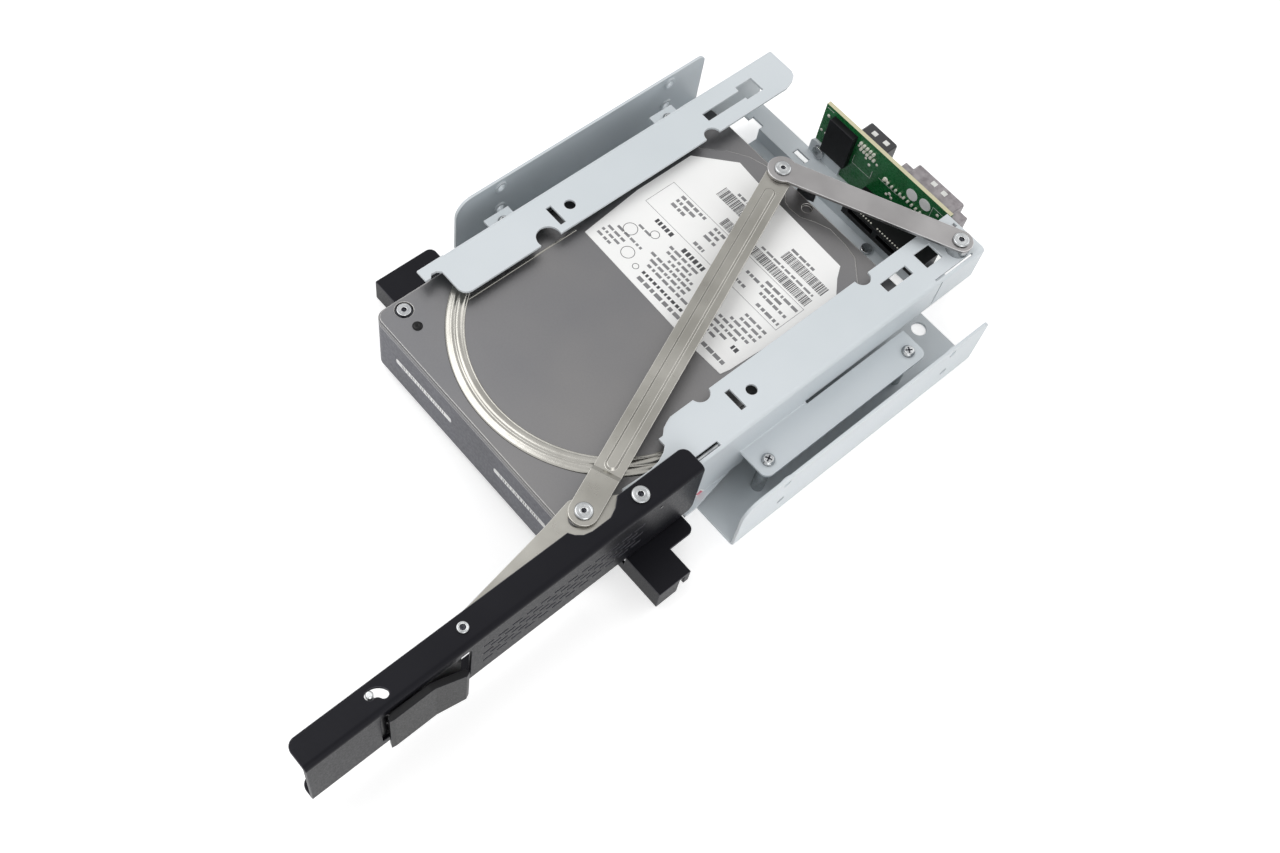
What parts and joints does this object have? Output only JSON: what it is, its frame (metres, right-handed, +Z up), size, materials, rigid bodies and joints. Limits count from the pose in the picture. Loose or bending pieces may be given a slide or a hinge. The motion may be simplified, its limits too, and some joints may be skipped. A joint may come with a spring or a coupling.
{
  "type": "hard drive mobile rack",
  "caption": "Open-frame 5.25 inch bay rack for a 3.5 inch hard drive, with a swing-out vented door, latch and ejector linkage.",
  "frame": {"origin": "middle of the tray's flat underside", "axes": "+Z up, +Y towards the rear connectors, +X to the right seen from the front; the open door points to -Y"},
  "size_m": [0.146, 0.2945, 0.0415],
  "materials": {
    "grey_paint": "smooth light grey powder coat on steel sheet",
    "zinc_steel": "bright zinc plated steel",
    "nickel_steel": "warm nickel plated steel strip",
    "black_paint": "fine textured black powder coat",
    "black_plastic": "satin black moulded plastic",
    "light_guide": "clear plastic light guide",
    "board_green": "green solder resist on glass fibre board",
    "relay_black": "moulded black component body",
    "solder": "tinned solder joints",
    "gold_contact": "gold plated contacts",
    "dark_connector": "dark moulded connector body",
    "grey_connector": "grey moulded connector body",
    "cast_aluminium": "dark coated die cast aluminium",
    "cover_steel": "grey plated pressed steel",
    "label_paper": "white printed film label"
  },
  "bodies": {
    "frame": {"chassis_tray": "grey_paint", "foot_standoffs": "zinc_steel", "foot_screws": "zinc_steel", "rail_left": "grey_paint", "rail_right": "grey_paint", "detent_rod": "zinc_steel", "front_bezel": "black_paint", "bezel_rivets": "zinc_steel", "backplane_bracket": "grey_paint", "bracket_screws": "zinc_steel", "backplane_board": "board_green", "inspection_dots": "label_paper", "relay": "relay_black", "solder_pins": "solder", "drive_receptacle": "black_plastic", "receptacle_contacts": "gold_contact", "data_connector": "dark_connector", "power_connector": "grey_connector", "power_pins": "gold_contact", "hinge_rivet": "zinc_steel", "hinge_spacer": "zinc_steel", "lever_rivet": "zinc_steel", "lever_spacer": "zinc_steel"},
    "door": {"door_panel": "black_paint", "door_arm": "nickel_steel", "arm_rivet": "zinc_steel", "latch_pivot_pin": "zinc_steel", "light_pipe": "light_guide"},
    "latch": {"latch_handle": "black_plastic", "latch_hook": "zinc_steel", "catch_pin": "zinc_steel"},
    "lever": {"eject_lever": "nickel_steel", "lever_tip_rivet": "zinc_steel"},
    "link": {"long_link": "nickel_steel", "link_rivet": "zinc_steel"},
    "drive": {"drive_base": "cast_aluminium", "drive_cover": "cover_steel", "drive_label": "label_paper", "cover_screws": "zinc_steel", "drive_board": "board_green", "drive_plug": "gold_contact"}
  },
  "joints": [
    {"name": "door_hinge", "type": "hinge", "parent": "frame", "child": "door", "pos_m": [0.0519, -0.086, 0.0386], "axis": [0, 0, 1], "range_deg": [-90, 0]},
    {"name": "latch_pivot", "type": "hinge", "parent": "door", "child": "latch", "pos_m": [0.0543, -0.1847, 0.025], "axis": [0, 0, 1], "range_deg": [-40, 0], "stiffness_Nm_per_rad": 0.05, "springref_deg": 17.19},
    {"name": "lever_pivot", "type": "hinge", "parent": "frame", "child": "lever", "pos_m": [0.0481, 0.063, 0.04], "axis": [0, 0, 1], "range_deg": [-22.82, 0]},
    {"name": "link_pivot", "type": "hinge", "parent": "lever", "child": "link", "pos_m": [-0.0104, 0.0343, 0.0393], "axis": [0, 0, 1], "range_deg": [0, 20.07]},
    {"name": "drive_slide", "type": "slide", "parent": "frame", "child": "drive", "axis": [0, 1, 0], "range_m": [0, 0.02261]}
  ],
  "couplings": [
    {"joint": "lever_pivot", "follows": "door_hinge", "ratio": 0.25338},
    {"joint": "link_pivot", "follows": "door_hinge", "ratio": -0.22279},
    {"joint": "drive_slide", "follows": "door_hinge", "m_per_rad": -0.014388}
  ]
}
